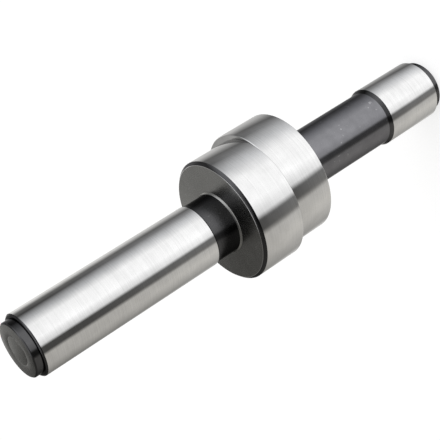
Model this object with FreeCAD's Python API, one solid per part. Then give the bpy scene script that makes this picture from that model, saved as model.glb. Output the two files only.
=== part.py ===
"""Mechanical edge finder with a 10 mm shank: FreeCAD source, millimetres, +Z up.

It hangs from a machine spindle by its shank, probe down. The origin is on the shank's axis, at
the lower end of its ground length, where the collet's nose comes. The probe stands off that
axis along +X.

A spring through both bores pulls the two lapped collar faces together. Each end of the spring
hooks on a pin across a headed plug. The shank's pin lies along X and the probe's along Y, so
the hooks can slide on them and the probe can move sideways any way without tilting.
"""

import FreeCAD, Part
import math
import os

# ---- Driving sizes --------------------------------------------------------------------------

probe_offset = 1.44             # probe axis from the shank's axis, along +X, as it was left

shank_diameter = 10.0           # ground, held in the collet
shank_length = 31.1             # ground part, with its end chamfer
neck_diameter = 9.68
neck_length = 4.55
neck_root_chamfer = 0.25        # where the neck meets the collar's face
neck_edge_chamfer = 0.15        # where the ground shank drops to the neck

collar_diameter = 20.0
shank_collar_thickness = 7.9
probe_collar_thickness = 7.3
collar_chamfer = 0.48           # on the shank side's face
collar_edge_break = 0.12        # on the other collar edges

rod_diameter = 9.24
rod_length = 18.8
shoulder_length = 0.65          # cone from the rod up to the tip
tip_diameter = 10.0             # ground, touches the work
tip_length = 10.7
end_chamfer = 0.25              # on the shank's end and the tip's end

bore_diameter = 6.5             # through both bodies
bore_mouth_chamfer = 0.4        # at the two lapped faces

plug_head_diameter = 8.8
plug_head_thickness = 1.3
plug_head_chamfer = 0.2
plug_spigot_length = 6.5
plug_spigot_clearance = 0.02    # radial, in the bore
plug_socket_diameter = 5.0      # blind hole that the hook hangs in
plug_socket_floor = 0.9         # metal left above the head

pin_diameter = 1.0
pin_depth = 3.6                 # pin axis from the head's seat
pin_end_clearance = 0.1         # each end, from the bore's wall
pin_hole_clearance = 0.01       # radial

wire_diameter = 0.6             # across the corners of its section
wire_sides = 6                  # a six-sided section keeps the many turns light to mesh
coil_diameter = 2.6             # mean, centre to centre of the wire
coil_turns = 6
coil_pitch = 2.4                # stretched
hook_diameter = 2.0             # mean
hook_neck_radius = 0.8          # bend that leads the leg into the hook
hook_end_angle = 235.0          # degrees round the hook, where the wire is cut off
hook_clearance = 0.02           # from the pin that it hangs on
coil_blend_length = 2.6         # along the axis, from the last coil to the straight leg

# ---- Worked out from them ----------------------------------------------------------------

shank_bottom = 0.0
shank_top = shank_bottom + shank_length
neck_bottom = shank_bottom - neck_length
joint_height = neck_bottom - shank_collar_thickness
probe_collar_bottom = joint_height - probe_collar_thickness
rod_bottom = probe_collar_bottom - rod_length
shoulder_bottom = rod_bottom - shoulder_length
tip_bottom = shoulder_bottom - tip_length

bore_radius = bore_diameter / 2
spigot_radius = bore_radius - plug_spigot_clearance
wire_radius = wire_diameter / 2
coil_radius = coil_diameter / 2
hook_radius = hook_diameter / 2

shank_pin_height = shank_top - pin_depth
probe_pin_height = tip_bottom + pin_depth
hook_drop = hook_radius - wire_radius - pin_diameter / 2 - hook_clearance    # off the pin's axis

UP = FreeCAD.Vector(0, 0, 1)
ALONG_X = FreeCAD.Vector(1, 0, 0)
ALONG_Y = FreeCAD.Vector(0, 1, 0)


# ---- Helpers -------------------------------------------------------------------------------

def turned(outline, axis_x=0.0):
    """Turn a closed outline of (radius, height) points about the upright axis at axis_x."""
    points = [FreeCAD.Vector(axis_x + radius, 0, height) for radius, height in outline]
    face = Part.Face(Part.makePolygon(points + points[:1]))
    return face.revolve(FreeCAD.Vector(axis_x, 0, 0), UP, 360)


def rod_across(direction, centre, diameter, length):
    """Make a round bar of one length, centred on a point."""
    start = centre - direction * (length / 2)
    return Part.makeCylinder(diameter / 2, length, start, direction)


# ---- The two bodies --------------------------------------------------------------------------

def make_shank_body():
    """Shank, neck and shank half of the collar, with the spring's bore through it."""
    collar = collar_diameter / 2
    neck = neck_diameter / 2
    shank = shank_diameter / 2
    outline = [
        (bore_radius + bore_mouth_chamfer, joint_height),
        (collar - collar_edge_break, joint_height),
        (collar, joint_height + collar_edge_break),
        (collar, neck_bottom - collar_chamfer),
        (collar - collar_chamfer, neck_bottom),
        (neck + neck_root_chamfer, neck_bottom),
        (neck, neck_bottom + neck_root_chamfer),
        (neck, shank_bottom - neck_edge_chamfer),
        (shank, shank_bottom),
        (shank, shank_top - end_chamfer),
        (shank - end_chamfer, shank_top),
        (bore_radius, shank_top),
        (bore_radius, joint_height + bore_mouth_chamfer),
    ]
    return turned(outline)


def make_probe_body():
    """Probe half of the collar, rod, shoulder and contact tip, with the spring's bore."""
    collar = collar_diameter / 2
    rod = rod_diameter / 2
    tip = tip_diameter / 2
    outline = [
        (bore_radius, tip_bottom),
        (tip - end_chamfer, tip_bottom),
        (tip, tip_bottom + end_chamfer),
        (tip, shoulder_bottom),
        (rod, rod_bottom),
        (rod, probe_collar_bottom),
        (collar - collar_edge_break, probe_collar_bottom),
        (collar, probe_collar_bottom + collar_edge_break),
        (collar, joint_height - collar_edge_break),
        (collar - collar_edge_break, joint_height),
        (bore_radius + bore_mouth_chamfer, joint_height),
        (bore_radius, joint_height - bore_mouth_chamfer),
    ]
    return turned(outline, probe_offset)


# ---- Plugs and their pins --------------------------------------------------------------------

def make_plug(pin_direction):
    """Headed plug, head down with its seat at height 0: spigot, hook socket and pin hole."""
    head = plug_head_diameter / 2
    face = -plug_head_thickness
    outline = [
        (0, face),
        (head - plug_head_chamfer, face),
        (head, face + plug_head_chamfer),
        (head, 0),
        (spigot_radius, 0),
        (spigot_radius, plug_spigot_length),
        (plug_socket_diameter / 2, plug_spigot_length),
        (plug_socket_diameter / 2, plug_socket_floor),
        (0, plug_socket_floor),
    ]
    plug = turned(outline)
    hole_diameter = pin_diameter + 2 * pin_hole_clearance
    hole_centre = FreeCAD.Vector(0, 0, pin_depth)
    return plug.cut(rod_across(pin_direction, hole_centre, hole_diameter, plug_head_diameter))


def make_shank_plug():
    """The shank's plug: its head sits on the shank's top."""
    plug = make_plug(ALONG_X)
    plug.rotate(FreeCAD.Vector(0, 0, 0), ALONG_X, 180)
    plug.translate(FreeCAD.Vector(0, 0, shank_top))
    return plug


def make_probe_plug():
    """The probe's plug: its head closes the tip and is the tool's lowest point."""
    plug = make_plug(ALONG_Y)
    plug.translate(FreeCAD.Vector(probe_offset, 0, tip_bottom))
    return plug


def make_pin(direction, centre):
    """Cross pin, kept in its plug by the bore's wall."""
    return rod_across(direction, centre, pin_diameter, bore_diameter - 2 * pin_end_clearance)


# ---- The spring --------------------------------------------------------------------------------

def hook_path(leg_start, hook_centre, sideways, along):
    """Leg, neck bend and hook in one plane: "along" points from the leg to the hook."""
    reach = math.sqrt(hook_radius ** 2 + 2 * hook_radius * hook_neck_radius)
    neck_start = hook_centre - along * reach
    bend_centre = neck_start + sideways * hook_neck_radius

    def on_hook(degrees):
        angle = math.radians(degrees)
        return hook_centre + (sideways * math.cos(angle) + along * math.sin(angle)) * hook_radius

    toward_hook = (hook_centre - bend_centre).normalize()
    neck_end = bend_centre + toward_hook * hook_neck_radius
    neck_middle = bend_centre + (toward_hook - sideways).normalize() * hook_neck_radius
    start_angle = -math.degrees(math.atan2(reach, hook_neck_radius))
    middle_angle = (start_angle + hook_end_angle) / 2
    return [
        Part.makeLine(leg_start, neck_start),
        Part.Arc(neck_start, neck_middle, neck_end).toShape(),
        Part.Arc(neck_end, on_hook(middle_angle), on_hook(hook_end_angle)).toShape(),
    ]


def coil_blend(coil_end, coil_tangent, leg_start, leg_direction):
    """Curve from the last coil in to the centre line, smooth at both ends."""
    handle = coil_blend_length * 0.55
    curve = Part.BezierCurve()
    curve.setPoles([
        coil_end,
        coil_end + coil_tangent * handle,
        leg_start - leg_direction * handle,
        leg_start,
    ])
    return curve.toShape()


def wire_section(start, first_edge):
    """Wire's section, square to the path at its start."""
    heading = first_edge.tangentAt(first_edge.FirstParameter).normalize()
    helper = ALONG_X if abs(heading.dot(ALONG_Y)) > 0.7 else ALONG_Y
    across = helper.cross(heading).normalize()
    other = heading.cross(across)
    corners = []
    for side in range(wire_sides):
        angle = 2 * math.pi * side / wire_sides
        corners.append(start + (across * math.cos(angle) + other * math.sin(angle)) * wire_radius)
    return Part.makePolygon(corners + corners[:1])


def coil_point(turns):
    """Point on the coil's wire, from the coil's middle line at its lower end."""
    angle = 2 * math.pi * turns
    outward = ALONG_X * math.cos(angle) + ALONG_Y * math.sin(angle)
    return outward * coil_radius + UP * (turns * coil_pitch)


def coil_heading(turns):
    """Direction of the coil's wire, going up."""
    angle = 2 * math.pi * turns
    round_the_coil = ALONG_Y * math.cos(angle) - ALONG_X * math.sin(angle)
    return (round_the_coil * (2 * math.pi * coil_radius) + UP * coil_pitch).normalize()


def make_spring():
    """Long-hook extension spring on the probe's axis, from the shank's pin to the probe's."""
    coil_length = coil_turns * coil_pitch
    axis_foot = FreeCAD.Vector(probe_offset, 0, 0)
    coil_foot = axis_foot + UP * ((shank_pin_height + probe_pin_height - coil_length) / 2)
    upper_leg_start = coil_foot + UP * (coil_length + coil_blend_length)
    lower_leg_start = coil_foot - UP * coil_blend_length
    upper_hook = axis_foot + UP * (shank_pin_height - hook_drop)
    lower_hook = axis_foot + UP * (probe_pin_height + hook_drop)

    coil = Part.makeHelix(coil_pitch, coil_length, coil_radius)
    coil.translate(coil_foot)
    upper_end = coil_foot + coil_point(coil_turns)
    lower_end = coil_foot + coil_point(0)
    edges = hook_path(upper_leg_start, upper_hook, ALONG_Y, UP)
    edges.append(coil_blend(upper_end, coil_heading(coil_turns), upper_leg_start, UP))
    edges.extend(coil.Edges)
    edges.append(coil_blend(lower_end, coil_heading(0) * -1, lower_leg_start, UP * -1))
    edges.extend(hook_path(lower_leg_start, lower_hook, ALONG_X, UP * -1))
    path = Part.Wire(Part.__sortEdges__(edges))

    section = wire_section(path.OrderedVertexes[0].Point, path.OrderedEdges[0])
    return path.makePipeShell([section], True, False)


# ---- Build ---------------------------------------------------------------------------------------

pieces = {
    "shank_body": make_shank_body(),
    "probe_body": make_probe_body(),
    "shank_end_plug": make_shank_plug(),
    "probe_end_plug": make_probe_plug(),
    "shank_anchor_pin": make_pin(ALONG_X, UP * shank_pin_height),
    "probe_anchor_pin": make_pin(
        ALONG_Y, FreeCAD.Vector(probe_offset, 0, probe_pin_height)
    ),
    "tension_spring": make_spring(),
}

os.makedirs("parts", exist_ok=True)
for name, shape in pieces.items():
    shape.exportStep("parts/" + name + ".step")
    print(name, "valid", shape.isValid(), "solids", len(shape.Solids),
          "volume", round(shape.Volume, 2))
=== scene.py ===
# %% [markdown]
# # An edge finder, dressed for its portrait
#
# An edge finder is a small turned tool. A machinist clamps its shank in a milling machine's
# spindle and brings the probe's tip up to the work until the two halves of the collar line up.
# The tool's solids come ready from CAD. This lesson gives them fine edges, real finishes, a
# studio and a camera.

import math

import bmesh
import bpy
from mathutils import Matrix, Vector


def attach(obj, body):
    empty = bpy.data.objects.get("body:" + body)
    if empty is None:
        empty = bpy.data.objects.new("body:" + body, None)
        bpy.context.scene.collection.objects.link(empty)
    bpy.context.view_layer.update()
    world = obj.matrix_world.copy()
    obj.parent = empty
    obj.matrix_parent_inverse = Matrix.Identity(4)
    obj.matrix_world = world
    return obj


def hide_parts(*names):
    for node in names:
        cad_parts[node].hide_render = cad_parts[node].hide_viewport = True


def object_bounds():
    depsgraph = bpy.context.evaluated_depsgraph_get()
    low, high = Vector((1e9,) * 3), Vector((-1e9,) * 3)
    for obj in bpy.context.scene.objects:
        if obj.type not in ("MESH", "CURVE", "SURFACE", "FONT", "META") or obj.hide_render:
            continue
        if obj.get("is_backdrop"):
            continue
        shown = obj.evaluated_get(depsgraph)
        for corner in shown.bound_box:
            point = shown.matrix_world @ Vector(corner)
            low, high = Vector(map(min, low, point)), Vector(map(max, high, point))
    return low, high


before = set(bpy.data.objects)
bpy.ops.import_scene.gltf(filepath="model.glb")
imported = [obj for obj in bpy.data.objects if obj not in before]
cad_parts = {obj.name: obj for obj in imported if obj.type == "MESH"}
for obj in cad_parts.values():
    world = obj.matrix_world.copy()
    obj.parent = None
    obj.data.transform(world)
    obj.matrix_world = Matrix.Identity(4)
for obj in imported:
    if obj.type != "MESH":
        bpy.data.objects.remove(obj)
solid_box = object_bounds()
print("solids reach from", [round(v, 5) for v in solid_box[0]], "to", [round(v, 5) for v in solid_box[1]])

# %% [markdown]
# ## The camera
#
# The tool hangs straight up and down in its own frame, so the camera does the leaning: it looks
# down by about 28 degrees and is rolled a long way over. A rolled camera could be set by three
# angles, but it is easier to check as three arrows: where its right side, its top and its back
# point. Those arrows are the columns of the camera's matrix.

# %% Place the camera
camera_place = Vector((-0.10346, -0.12566, 0.08086))
camera_right = Vector((-0.66386, 0.03864, -0.74690))
camera_up = Vector((0.49168, -0.73001, -0.47479))
camera_back = camera_right.cross(camera_up)

camera_data = bpy.data.cameras.new("portrait_camera")
camera_data.lens = 100
camera_data.sensor_width = 36
camera_data.clip_start = 0.01
camera = bpy.data.objects.new("portrait_camera", camera_data)
camera_turn = Matrix((camera_right, camera_up, camera_back)).transposed().to_4x4()
camera.matrix_world = Matrix.Translation(camera_place) @ camera_turn
bpy.context.scene.collection.objects.link(camera)
bpy.context.scene.camera = camera
print("camera is", round(camera_place.length * 1000), "mm from the collet's nose")

# %% [markdown]
# ## The studio
#
# Ground steel is a mirror that has been scratched all over: it shows its surroundings and has
# almost no colour of its own. A round bar seen from one side shows the whole way round it, so
# its bright and dark stripes are the studio's soft boxes and dark gaps, one after another. Lamps
# could make them, but then each stripe is one lamp to place. Here the world does it: a colour
# ramp is read by compass bearing, so each stop on it is one stripe.

# %% Read the studio by compass bearing
world = bpy.data.worlds.new("studio")
bpy.context.scene.world = world
world.use_nodes = True
sky = world.node_tree
sky.nodes.clear()


def add_node(tree, kind, **settings):
    """Add a node and set its properties."""
    node = tree.nodes.new(kind)
    for key, value in settings.items():
        setattr(node, key, value)
    return node


def join(tree, output, socket):
    """Connect an output to an input."""
    tree.links.new(output, socket)


def math_node(tree, operation, first, second=None):
    """One sum, on outputs or plain numbers. Returns its output."""
    node = add_node(tree, "ShaderNodeMath", operation=operation)
    for socket, value in zip(node.inputs, (first, second)):
        if hasattr(value, "is_linked"):
            join(tree, value, socket)
        elif value is not None:
            socket.default_value = value
    return node.outputs[0]


direction = add_node(sky, "ShaderNodeTexCoord")
parts = add_node(sky, "ShaderNodeSeparateXYZ")
join(sky, direction.outputs["Generated"], parts.inputs[0])
bearing = math_node(sky, "ARCTAN2", parts.outputs["Y"], parts.outputs["X"])
facing = 230.45      # bearing that the camera stands at, in degrees
past_start = math_node(sky, "SUBTRACT", bearing, math.radians(facing - 180))
turn = math_node(sky, "FRACT", math_node(sky, "DIVIDE", past_start, 2 * math.pi))
print("bearing 0 of the ramp is at", facing - 180, "degrees")

# %% [markdown]
# The stops go round once from behind the tool, past its one side to the camera and on past its
# other side. Each is a bearing from the camera's own, with the grey that bare steel should show
# there and how warm that grey is. A soft box fades at its upper edge and is cut off sharply at
# its lower one, which gives a turned part its crisp dark line. The boxes lean, so their stripes
# drift with height: one ramp holds for directions near the horizon, one for steep ones below it
# and one for those above it.

# %% Lay out soft boxes and dark gaps
def linear(grey):
    """A display grey of 0 to 255 as light."""
    value = grey / 255
    return value / 12.92 if value <= 0.04045 else ((value + 0.055) / 1.055) ** 2.4


def ramp_of(stripes):
    """A colour ramp read by bearing, with one stop for each stripe."""
    node = add_node(sky, "ShaderNodeValToRGB")
    for index, (angle, grey, warmth) in enumerate(stripes):
        place = (angle + 180) / 360
        if index < 2:
            stop = node.color_ramp.elements[index]
            stop.position = place
        else:
            stop = node.color_ramp.elements.new(place)
        light = linear(grey)
        stop.color = (light * (1 + warmth), light, light * (1 - 2 * warmth), 1)
    join(sky, turn, node.inputs["Fac"])
    return node.outputs["Color"]


near_horizon = ramp_of([
    (-180, 160, 0.01), (-150, 115, 0.03), (-100, 160, 0.03), (-60, 165, 0.03),    # side box
    (-50, 65, 0.02), (-32, 65, 0.02),                                             # dark gap
    (-24, 205, 0.00), (0, 250, 0.00), (45, 240, 0.00), (70, 175, -0.01),          # main box
    (100, 60, 0.01), (120, 100, 0.01), (145, 235, 0.01),                          # shade, back box
])
steep_below = ramp_of([
    (-180, 220, 0.01), (-145, 175, 0.02), (-90, 190, 0.03), (-62, 170, 0.02),     # side box
    (-54, 110, 0.02), (-34, 110, 0.00),                                           # dark gap
    (-24, 230, 0.00), (0, 250, 0.00), (45, 245, 0.00), (75, 205, -0.01),          # main box
    (120, 90, 0.00), (155, 145, 0.00),                                            # shade, back box
])
above = ramp_of([
    (-180, 80, 0.02), (-125, 115, 0.03), (-75, 100, 0.03),                        # side box
    (-50, 50, 0.00), (-30, 45, 0.00), (15, 110, 0.00),                            # dark gap
    (65, 245, -0.01), (85, 235, -0.01), (110, 110, 0.00), (145, 145, 0.01),       # main box, back box
])
print("three ramps go round the studio")

# %% [markdown]
# The ramps are mixed by height. The height of a direction is its Z, the sine of its angle above
# the horizon. Straight up, a plain ceiling takes over. The camera itself sees plain white.

# %% Mix the ramps by height and finish the world
def mix_by_height(low, high, first, second):
    """Go from one colour to another as a direction's Z goes from low to high."""
    share = add_node(sky, "ShaderNodeMapRange", interpolation_type="SMOOTHSTEP")
    share.inputs["From Min"].default_value = low
    share.inputs["From Max"].default_value = high
    join(sky, parts.outputs["Z"], share.inputs["Value"])
    mixed = add_node(sky, "ShaderNodeMix", data_type="RGBA")
    join(sky, share.outputs["Result"], mixed.inputs["Factor"])
    join(sky, first, mixed.inputs["A"])
    if isinstance(second, tuple):
        mixed.inputs["B"].default_value = second
    else:
        join(sky, second, mixed.inputs["B"])
    return mixed.outputs["Result"]


room = mix_by_height(-0.80, -0.17, steep_below, near_horizon)
room = mix_by_height(0.14, 0.34, room, above)
room = mix_by_height(0.85, 0.97, room, (0.6, 0.6, 0.6, 1))

studio_light = add_node(sky, "ShaderNodeBackground")
studio_light.inputs["Strength"].default_value = 1.8
join(sky, room, studio_light.inputs["Color"])
white = add_node(sky, "ShaderNodeBackground")
white.inputs["Color"].default_value = (1, 1, 1, 1)
seen_by = add_node(sky, "ShaderNodeLightPath")
either = add_node(sky, "ShaderNodeMixShader")
join(sky, seen_by.outputs["Is Camera Ray"], either.inputs["Fac"])
join(sky, studio_light.outputs[0], either.inputs[1])
join(sky, white.outputs[0], either.inputs[2])
world_out = add_node(sky, "ShaderNodeOutputWorld")
join(sky, either.outputs[0], world_out.inputs["Surface"])
print("studio light strength", round(studio_light.inputs["Strength"].default_value, 2))

# %% [markdown]
# ## The floor
#
# The floor is a big pale sheet under the tool's lowest point. Part of its white is its own, and
# only for the camera, so the shadow on it stays soft and faint. Steel doesn't mirror it, because
# the stripes below the horizon are what the bars show.

# %% Lay the floor
floor_reach = 3          # metres each way from the middle
own_white = 0.745        # share of the floor's white that is its own light
floor_mesh = bpy.data.meshes.new("floor")
floor_form = bmesh.new()
bmesh.ops.create_grid(floor_form, x_segments=1, y_segments=1, size=floor_reach)
bmesh.ops.translate(floor_form, verts=floor_form.verts, vec=(0, 0, solid_box[0].z))
floor_form.to_mesh(floor_mesh)
floor_form.free()
floor = bpy.data.objects.new("floor", floor_mesh)
bpy.context.scene.collection.objects.link(floor)
floor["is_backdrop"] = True
floor.visible_glossy = False

paper = bpy.data.materials.new("pale_paper")
paper.use_nodes = True
tree = paper.node_tree
tree.nodes.clear()
matt = add_node(tree, "ShaderNodeBsdfDiffuse")
matt.inputs["Color"].default_value = (0.5, 0.5, 0.5, 1)
glow = add_node(tree, "ShaderNodeEmission")
glow.inputs["Color"].default_value = (1, 1, 1, 1)
paths = add_node(tree, "ShaderNodeLightPath")
join(tree, math_node(tree, "MULTIPLY", paths.outputs["Is Camera Ray"], own_white), glow.inputs["Strength"])
both = add_node(tree, "ShaderNodeAddShader")
join(tree, matt.outputs[0], both.inputs[0])
join(tree, glow.outputs[0], both.inputs[1])
paper_out = add_node(tree, "ShaderNodeOutputMaterial")
join(tree, both.outputs[0], paper_out.inputs["Surface"])
floor.data.materials.append(paper)
print("floor at", round(solid_box[0].z * 1000, 2), "mm")

# %% [markdown]
# ## Marks that a lathe and a grinder leave
#
# Both finishes carry fine rings round the axis, and both are a little uneven. Because two
# materials use these marks, each is a node group, built once. The rings come from a noise that is
# read by height and by distance from the axis, and only slowly by bearing, so that on a side it
# draws rings and on a flat face it draws circles.

# %% Build the group of turned rings
def new_group(name, inputs, outputs):
    """A shader node group with float or vector sockets, and its two end nodes."""
    group = bpy.data.node_groups.new(name, "ShaderNodeTree")
    for label, kind, value in inputs:
        socket = group.interface.new_socket(label, in_out="INPUT", socket_type=kind)
        if value is not None:
            socket.default_value = value
    for label, kind in outputs:
        group.interface.new_socket(label, in_out="OUTPUT", socket_type=kind)
    return group, add_node(group, "NodeGroupInput"), add_node(group, "NodeGroupOutput")


rings_group, ring_in, ring_out = new_group(
    "turned_rings",
    [("Place", "NodeSocketVector", None), ("Rings per Metre", "NodeSocketFloat", 4000.0)],
    [("Ring", "NodeSocketFloat")],
)
split = add_node(rings_group, "ShaderNodeSeparateXYZ")
join(rings_group, ring_in.outputs["Place"], split.inputs[0])
squared = math_node(rings_group, "MULTIPLY", split.outputs["X"], split.outputs["X"])
squared_too = math_node(rings_group, "MULTIPLY", split.outputs["Y"], split.outputs["Y"])
radius = math_node(rings_group, "SQRT", math_node(rings_group, "ADD", squared, squared_too))
across = math_node(rings_group, "MULTIPLY", radius, ring_in.outputs["Rings per Metre"])
along = math_node(rings_group, "MULTIPLY", split.outputs["Z"], ring_in.outputs["Rings per Metre"])
bearing_round = math_node(rings_group, "ARCTAN2", split.outputs["Y"], split.outputs["X"])
ring_drift = 0.9         # how far the rings change on the way round
east = math_node(rings_group, "MULTIPLY", math_node(rings_group, "COSINE", bearing_round), ring_drift)
north = math_node(rings_group, "MULTIPLY", math_node(rings_group, "SINE", bearing_round), ring_drift)
packed = add_node(rings_group, "ShaderNodeCombineXYZ")
join(rings_group, across, packed.inputs["X"])
join(rings_group, east, packed.inputs["Y"])
join(rings_group, along, packed.inputs["Z"])
ring_noise = add_node(rings_group, "ShaderNodeTexNoise", noise_dimensions="4D")
ring_noise.inputs["Scale"].default_value = 1.0
ring_noise.inputs["Detail"].default_value = 3.0
join(rings_group, packed.outputs[0], ring_noise.inputs["Vector"])
join(rings_group, north, ring_noise.inputs["W"])
join(rings_group, ring_noise.outputs["Fac"], ring_out.inputs["Ring"])
print("group", rings_group.name, "has", len(rings_group.nodes), "nodes")

# %% [markdown]
# The unevenness is a soft cloud a few millimetres wide, and the specks are tiny light spots where
# the black has worn through to steel.

# %% Build the group of clouds and specks
clouds_group, cloud_in, cloud_out = new_group(
    "clouds_and_specks",
    [("Place", "NodeSocketVector", None), ("Cloud Scale", "NodeSocketFloat", 300.0),
     ("Speck Scale", "NodeSocketFloat", 1500.0), ("Speck Share", "NodeSocketFloat", 0.2)],
    [("Cloud", "NodeSocketFloat"), ("Speck", "NodeSocketFloat")],
)
cloud = add_node(clouds_group, "ShaderNodeTexNoise")
cloud.inputs["Detail"].default_value = 4.0
join(clouds_group, cloud_in.outputs["Place"], cloud.inputs["Vector"])
join(clouds_group, cloud_in.outputs["Cloud Scale"], cloud.inputs["Scale"])
join(clouds_group, cloud.outputs["Fac"], cloud_out.inputs["Cloud"])
speck = add_node(clouds_group, "ShaderNodeTexNoise")
speck.inputs["Detail"].default_value = 2.0
join(clouds_group, cloud_in.outputs["Place"], speck.inputs["Vector"])
join(clouds_group, cloud_in.outputs["Speck Scale"], speck.inputs["Scale"])
speck_limit = 0.8        # noise above this is a speck when the share is 0
speck_edge = 12.0        # how sharply a speck ends
threshold = math_node(clouds_group, "SUBTRACT", speck_limit, cloud_in.outputs["Speck Share"])
over = math_node(clouds_group, "SUBTRACT", speck.outputs["Fac"], threshold)
speck_mask = math_node(clouds_group, "MULTIPLY", over, speck_edge)
clamped = add_node(clouds_group, "ShaderNodeClamp")
join(clouds_group, speck_mask, clamped.inputs["Value"])
join(clouds_group, clamped.outputs[0], cloud_out.inputs["Speck"])
print("group", clouds_group.name, "has", len(clouds_group.nodes), "nodes")

# %% [markdown]
# ## Ground steel
#
# Cylindrical grinding leaves a satin grey with hair-fine rings. It is bare metal, so the shader is
# fully metallic. The rings and soft clouds shade its grey, the clouds also vary its roughness, and
# a very shallow bump follows the rings.

# %% Mix the ground steel
def finish_material(name, colour, roughness, centre, edge_tint=1.0):
    """A metallic material, its Object coordinates centred on a turned part's axis."""
    material = bpy.data.materials.new(name)
    material.use_nodes = True
    tree = material.node_tree
    tree.nodes.clear()
    shader = add_node(tree, "ShaderNodeBsdfPrincipled")
    shader.inputs["Base Color"].default_value = (*colour, 1)
    shader.inputs["Metallic"].default_value = 1.0
    shader.inputs["Roughness"].default_value = roughness
    shader.inputs["Specular Tint"].default_value = (edge_tint, edge_tint, edge_tint, 1)
    output = add_node(tree, "ShaderNodeOutputMaterial")
    join(tree, shader.outputs[0], output.inputs["Surface"])
    place = add_node(tree, "ShaderNodeTexCoord")
    centred = add_node(tree, "ShaderNodeMapping")
    centred.inputs["Location"].default_value = (-centre, 0, 0)
    join(tree, place.outputs["Object"], centred.inputs["Vector"])
    return material, tree, shader, centred.outputs[0]


def use_group(tree, group, place, **values):
    """Put a group in a material and read it at a place."""
    node = add_node(tree, "ShaderNodeGroup", node_tree=group)
    join(tree, place, node.inputs["Place"])
    for label, value in values.items():
        node.inputs[label.replace("_", " ")].default_value = value
    return node


def between(tree, amount, low, high):
    """A number that goes from low to high as amount goes from 0 to 1."""
    node = add_node(tree, "ShaderNodeMapRange")
    node.inputs["To Min"].default_value = low
    node.inputs["To Max"].default_value = high
    join(tree, amount, node.inputs["Value"])
    return node.outputs["Result"]


def tinted(tree, amount, low, high):
    """A colour that goes from low to high as amount goes from 0 to 1."""
    node = add_node(tree, "ShaderNodeMix", data_type="RGBA")
    node.inputs["A"].default_value = (*low, 1)
    node.inputs["B"].default_value = (*high, 1)
    join(tree, amount, node.inputs["Factor"])
    return node.outputs["Result"]


def make_ground_steel(name, centre):
    """Satin ground steel with fine rings."""
    material, tree, shader, place = finish_material(name, (0.56, 0.56, 0.56), 0.1, centre, 0.72)
    rings = use_group(tree, rings_group, place, Rings_per_Metre=5200.0)
    clouds = use_group(tree, clouds_group, place, Cloud_Scale=420.0)
    cloud_shade = between(tree, clouds.outputs["Cloud"], 0.84, 1.12)
    ring_shade = between(tree, rings.outputs["Ring"], 0.86, 1.14)
    shade = math_node(tree, "MULTIPLY", cloud_shade, ring_shade)
    join(tree, math_node(tree, "MULTIPLY", shade, 0.565), shader.inputs["Base Color"])
    join(tree, between(tree, clouds.outputs["Cloud"], 0.03, 0.12), shader.inputs["Roughness"])
    bump = add_node(tree, "ShaderNodeBump")
    bump.inputs["Strength"].default_value = 0.012
    bump.inputs["Distance"].default_value = 0.00005
    join(tree, rings.outputs["Ring"], bump.inputs["Height"])
    join(tree, bump.outputs[0], shader.inputs["Normal"])
    return material


# %% [markdown]
# ## Black oxide
#
# The faces that aren't ground keep the black of a hot oxide bath. It is a skin on bright turned
# steel, so it still shines, with a dull blue cast, and light specks show where it is thin. The
# same skin is painted darkest in the neck, on the chamfers, on the cone and on the plugs' sides,
# which is painted shade. It is lighter on the rod and lightest on the faced ends, so one function
# mixes all three.

# %% Mix the black oxide
def make_black_oxide(name, centre, dark, light, worn, roughness):
    """Blackened turned steel, from its darkest to its lightest grey, with worn specks."""
    material, tree, shader, place = finish_material(name, light, roughness, centre, 0.45)
    rings = use_group(tree, rings_group, place, Rings_per_Metre=3000.0)
    clouds = use_group(tree, clouds_group, place, Cloud_Scale=700.0, Speck_Scale=1500.0, Speck_Share=0.12)
    skin = tinted(tree, clouds.outputs["Cloud"], dark, light)
    specked = add_node(tree, "ShaderNodeMix", data_type="RGBA")
    specked.inputs["B"].default_value = (*worn, 1)
    join(tree, skin, specked.inputs["A"])
    join(tree, clouds.outputs["Speck"], specked.inputs["Factor"])
    join(tree, specked.outputs["Result"], shader.inputs["Base Color"])
    uneven = between(tree, clouds.outputs["Cloud"], roughness - 0.04, roughness + 0.05)
    join(tree, uneven, shader.inputs["Roughness"])
    bump = add_node(tree, "ShaderNodeBump")
    bump.inputs["Strength"].default_value = 0.03
    bump.inputs["Distance"].default_value = 0.00006
    join(tree, rings.outputs["Ring"], bump.inputs["Height"])
    join(tree, bump.outputs[0], shader.inputs["Normal"])
    return material


def make_shade_painted_black(name, centre):
    """The darkest skin, painted shade for the neck, the chamfers, the cone and the plugs' sides."""
    dark, light, worn = (0.062, 0.062, 0.064), (0.08, 0.08, 0.083), (0.13, 0.13, 0.13)
    return make_black_oxide(name, centre, dark, light, worn, 0.14)


def make_faced_black(name, centre):
    """The skin on a face that was turned flat."""
    dark, light, worn = (0.27, 0.27, 0.262), (0.31, 0.31, 0.302), (0.36, 0.36, 0.36)
    return make_black_oxide(name, centre, dark, light, worn, 0.26)


def make_rod_black(name, centre):
    """The skin on the rod."""
    dark, light, worn = (0.125, 0.125, 0.133), (0.185, 0.185, 0.197), (0.27, 0.27, 0.28)
    return make_black_oxide(name, centre, dark, light, worn, 0.12)


probe_offset = 0.00144
shank_ground = make_ground_steel("shank_ground", 0.0)
# The deep black materials carry painted shade.
shank_shade_black = make_shade_painted_black("shank_painted_shade_black", 0.0)
shank_faced = make_faced_black("shank_faced_black", 0.0)
probe_ground = make_ground_steel("probe_ground", probe_offset)
probe_shade_black = make_shade_painted_black("probe_painted_shade_black", probe_offset)
probe_faced = make_faced_black("probe_faced_black", probe_offset)
rod_black = make_rod_black("rod_black", probe_offset)
print("finishes:", [finish.name for finish in (shank_ground, shank_shade_black, shank_faced, rod_black)])

# %% [markdown]
# ## Turning a piece
#
# A lathe part is its half outline turned once round its axis, which is what the spin operator
# does. The outline is a few corners. After the spin each sharp corner is a full circle of edges,
# and the bevel operator breaks those circles by a few hundredths of a millimetre, as a file or a
# deburring wheel does. Without that break a corner catches no light and the part looks drawn.

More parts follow.
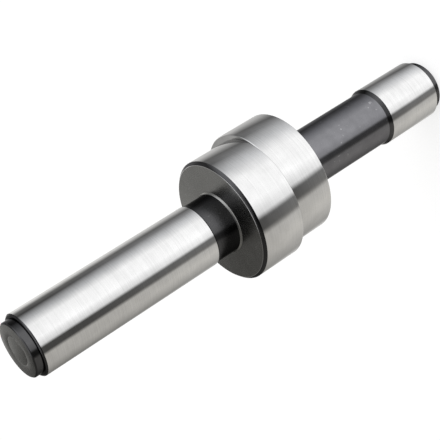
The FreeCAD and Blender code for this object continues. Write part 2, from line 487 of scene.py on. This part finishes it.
# %% Turn an outline and break its corners
TURN_STEPS = 288


def turn_piece(name, outline_mm, axis_mm=0.0, edge_break_mm=0.04):
    """Spin a closed outline of (radius, height) in millimetres about an upright axis."""
    form = bmesh.new()
    corners = [form.verts.new(((axis_mm + r) / 1000, 0, z / 1000)) for r, z in outline_mm]
    closed = outline_mm[0][0] > 0
    ends = list(zip(corners, corners[1:] + corners[:1])) if closed else list(zip(corners, corners[1:]))
    profile = [form.edges.new(pair) for pair in ends]
    axis_point = Vector((axis_mm / 1000, 0, 0))
    bmesh.ops.spin(form, geom=corners + profile, cent=axis_point, axis=(0, 0, 1), dvec=(0, 0, 0),
                   angle=2 * math.pi, steps=TURN_STEPS, use_merge=True, use_duplicate=False)
    bmesh.ops.remove_doubles(form, verts=form.verts, dist=1e-7)
    bmesh.ops.recalc_face_normals(form, faces=form.faces)
    sharp = [e for e in form.edges if len(e.link_faces) == 2 and e.calc_face_angle() > math.radians(20)]
    bmesh.ops.bevel(form, geom=sharp, offset=edge_break_mm / 1000, offset_type="OFFSET", segments=2,
                    profile=0.5, affect="EDGES", material=-1)
    for face in form.faces:
        face.smooth = True
    for edge in form.edges:
        edge.smooth = len(edge.link_faces) != 2 or edge.calc_face_angle() < math.radians(14)
    mesh = bpy.data.meshes.new(name)
    form.to_mesh(mesh)
    open_edges = sum(1 for e in form.edges if len(e.link_faces) != 2)
    form.free()
    piece = bpy.data.objects.new(name, mesh)
    bpy.context.scene.collection.objects.link(piece)
    print(name, len(mesh.polygons), "faces,", open_edges, "open edges")
    return piece


def finish_faces(piece, finishes, choose, axis_mm=0.0):
    """Give each face a finish by name, chosen from its radius, height and slope."""
    names = list(finishes)
    for name in names:
        piece.data.materials.append(finishes[name])
    for face in piece.data.polygons:
        middle = face.center
        radius = math.hypot(middle.x * 1000 - axis_mm, middle.y * 1000)
        face.material_index = names.index(choose(radius, middle.z * 1000, abs(face.normal.z)))


# %% [markdown]
# ## The shank
#
# One bar makes the shank, the neck and the upper half of the collar. The shank and the collar's
# side are ground. The neck, the collar's face with its wide chamfer and the shank's end stay
# black, with painted shade in the neck and on the chamfers. A thin ground ring at the chamfer's
# inner edge is a painted edge highlight, and the neck's root chamfer takes the lighter faced black
# for a partly painted highlight. The sizes are the solid's own, in millimetres, with height 0 at
# the collet's nose.

# %% Turn and finish the shank
shank_top, neck_bottom, joint = 31.1, -4.55, -12.45
shank_outline = [
    (3.65, joint), (9.88, joint), (10.0, joint + 0.12), (10.0, neck_bottom - 0.48),
    (9.52, neck_bottom), (5.09, neck_bottom), (4.84, neck_bottom + 0.25), (4.84, -0.15),
    (5.0, 0.0), (5.0, shank_top - 0.25), (4.75, shank_top), (3.25, shank_top), (3.25, joint + 0.4),
]
shank = turn_piece("turned_shank", shank_outline)


def shank_finish(radius, height, slope):
    """Ground where gripped, on the collar's side and the lapped face; ground on the chamfer's inner edge is
    a painted edge highlight.
    """
    if radius > 4.99 and 0.0 < height < shank_top - 0.24:
        return "ground"
    if (radius > 9.8 and height < neck_bottom - 0.47) or height < joint + 0.02:
        return "ground"
    # A thin ring of ground steel at the chamfer's inner edge is a painted edge highlight.
    if height > neck_bottom - 0.03 and 9.47 < radius < 9.57:
        return "ground"
    # The neck's root chamfer takes the lighter faced black, so its bright arc is partly real reflection and
    # partly painted highlight.
    if neck_bottom < height < neck_bottom + 0.24 and radius < 5.1:
        return "faced"
    # The rest takes the darkest black; on the neck and the chamfers that darkness is painted shade.
    return "faced" if slope > 0.98 and radius > 5.0 else "black"


finish_faces(shank, {"ground": shank_ground, "black": shank_shade_black, "faced": shank_faced}, shank_finish)
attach(shank, "shank")
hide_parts("shank_body")

# %% [markdown]
# ## The probe
#
# The probe is the lower half of the collar, a black rod, a short cone and the ground tip that
# touches the work. It stands off the shank's axis, as it does before the spindle starts.

# %% Turn and finish the probe
probe_axis = 1.44
collar_foot, rod_foot, cone_foot, tip_foot = -19.75, -38.55, -39.2, -49.9
probe_outline = [
    (3.25, tip_foot), (4.75, tip_foot), (5.0, tip_foot + 0.25), (5.0, cone_foot), (4.62, rod_foot),
    (4.62, collar_foot), (9.88, collar_foot), (10.0, collar_foot + 0.12), (10.0, joint - 0.12),
    (9.88, joint), (3.65, joint), (3.25, joint - 0.4),
]
probe = turn_piece("turned_probe", probe_outline, probe_axis)


def probe_finish(radius, height, slope):
    """Ground on the collar's side, the lapped joint face and the tip."""
    if height < cone_foot:
        return "ground" if radius > 4.7 else "black"
    if height > joint - 0.02 or radius > 9.85:
        return "ground"
    # The cone between rod and tip takes the darkest black, whose darkness is painted shade.
    if height < rod_foot:
        return "black"
    return "faced" if slope > 0.98 else "rod"


finish_faces(probe, {"ground": probe_ground, "black": probe_shade_black, "faced": probe_faced, "rod": rod_black},
             probe_finish, probe_axis)
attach(probe, "probe")
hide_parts("probe_body")

# %% [markdown]
# ## The plugs
#
# A black headed plug closes each end and carries the pin that the spring hooks on. Its head has
# a faint turned ring. Only the head is ever seen, but the spigot and its socket are turned too,
# because a closed form is easier to trust than one with a missing side.

# %% Turn and finish the plugs
plug_outline = [
    (0, -1.3), (2.2, -1.3), (2.3, -1.26), (2.4, -1.3), (4.2, -1.3), (4.4, -1.1), (4.4, 0.0),
    (3.23, 0.0), (3.23, 6.5), (2.5, 6.5), (2.5, 0.9), (0, 0.9),
]


def plug_finish(radius, height, slope):
    """The flat of the head is faced; all the rest takes the darkest black, painted shade on the head's
    side.
    """
    return "faced" if slope > 0.9 else "black"


def make_plug(name, seat, up, axis_mm, finishes, body, node):
    """Turn one plug: its head hangs below the seat, or stands above it."""
    outline = [(r, seat + z * up) for r, z in plug_outline]
    plug = turn_piece(name, outline, axis_mm, 0.03)
    finish_faces(plug, finishes, plug_finish, axis_mm)
    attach(plug, body)
    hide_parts(node)


shank_plug_finishes = {"black": shank_shade_black, "faced": shank_faced}
make_plug("turned_shank_plug", shank_top, -1, 0.0, shank_plug_finishes, "shank", "shank_end_plug")
probe_plug_finishes = {"black": probe_shade_black, "faced": probe_faced}
make_plug("turned_probe_plug", tip_foot, 1, probe_axis, probe_plug_finishes, "probe_plug", "probe_end_plug")

# %% [markdown]
# ## Pins and spring
#
# They stay inside the bores, so the CAD shapes do as they are. They still get real finishes, for
# anyone who opens the tool up.

# %% Finish the pins and the spring
pin_steel = make_ground_steel("ground_pin", 0.0)
spring_steel = make_ground_steel("drawn_wire", probe_offset)
inner_finishes = {
    "shank_anchor_pin": pin_steel,
    "probe_anchor_pin": pin_steel,
    "tension_spring": spring_steel,
}
for node, material in inner_finishes.items():
    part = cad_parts[node]
    part.data.materials.clear()
    part.data.materials.append(material)
    print(node, "takes", material.name)

# %% [markdown]
# ## Check the size and finish
#
# The dressed tool must fill the same box as the solids. The two boxes are compared and the largest gap
# printed.

# %% Compare both boxes and finish
bpy.context.scene.view_settings.view_transform = "Standard"
dressed_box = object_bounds()
gaps = [abs(a - b) for p, q in zip(solid_box, dressed_box) for a, b in zip(p, q)]
print("box differs by", round(max(gaps) * 1000, 4), "mm")
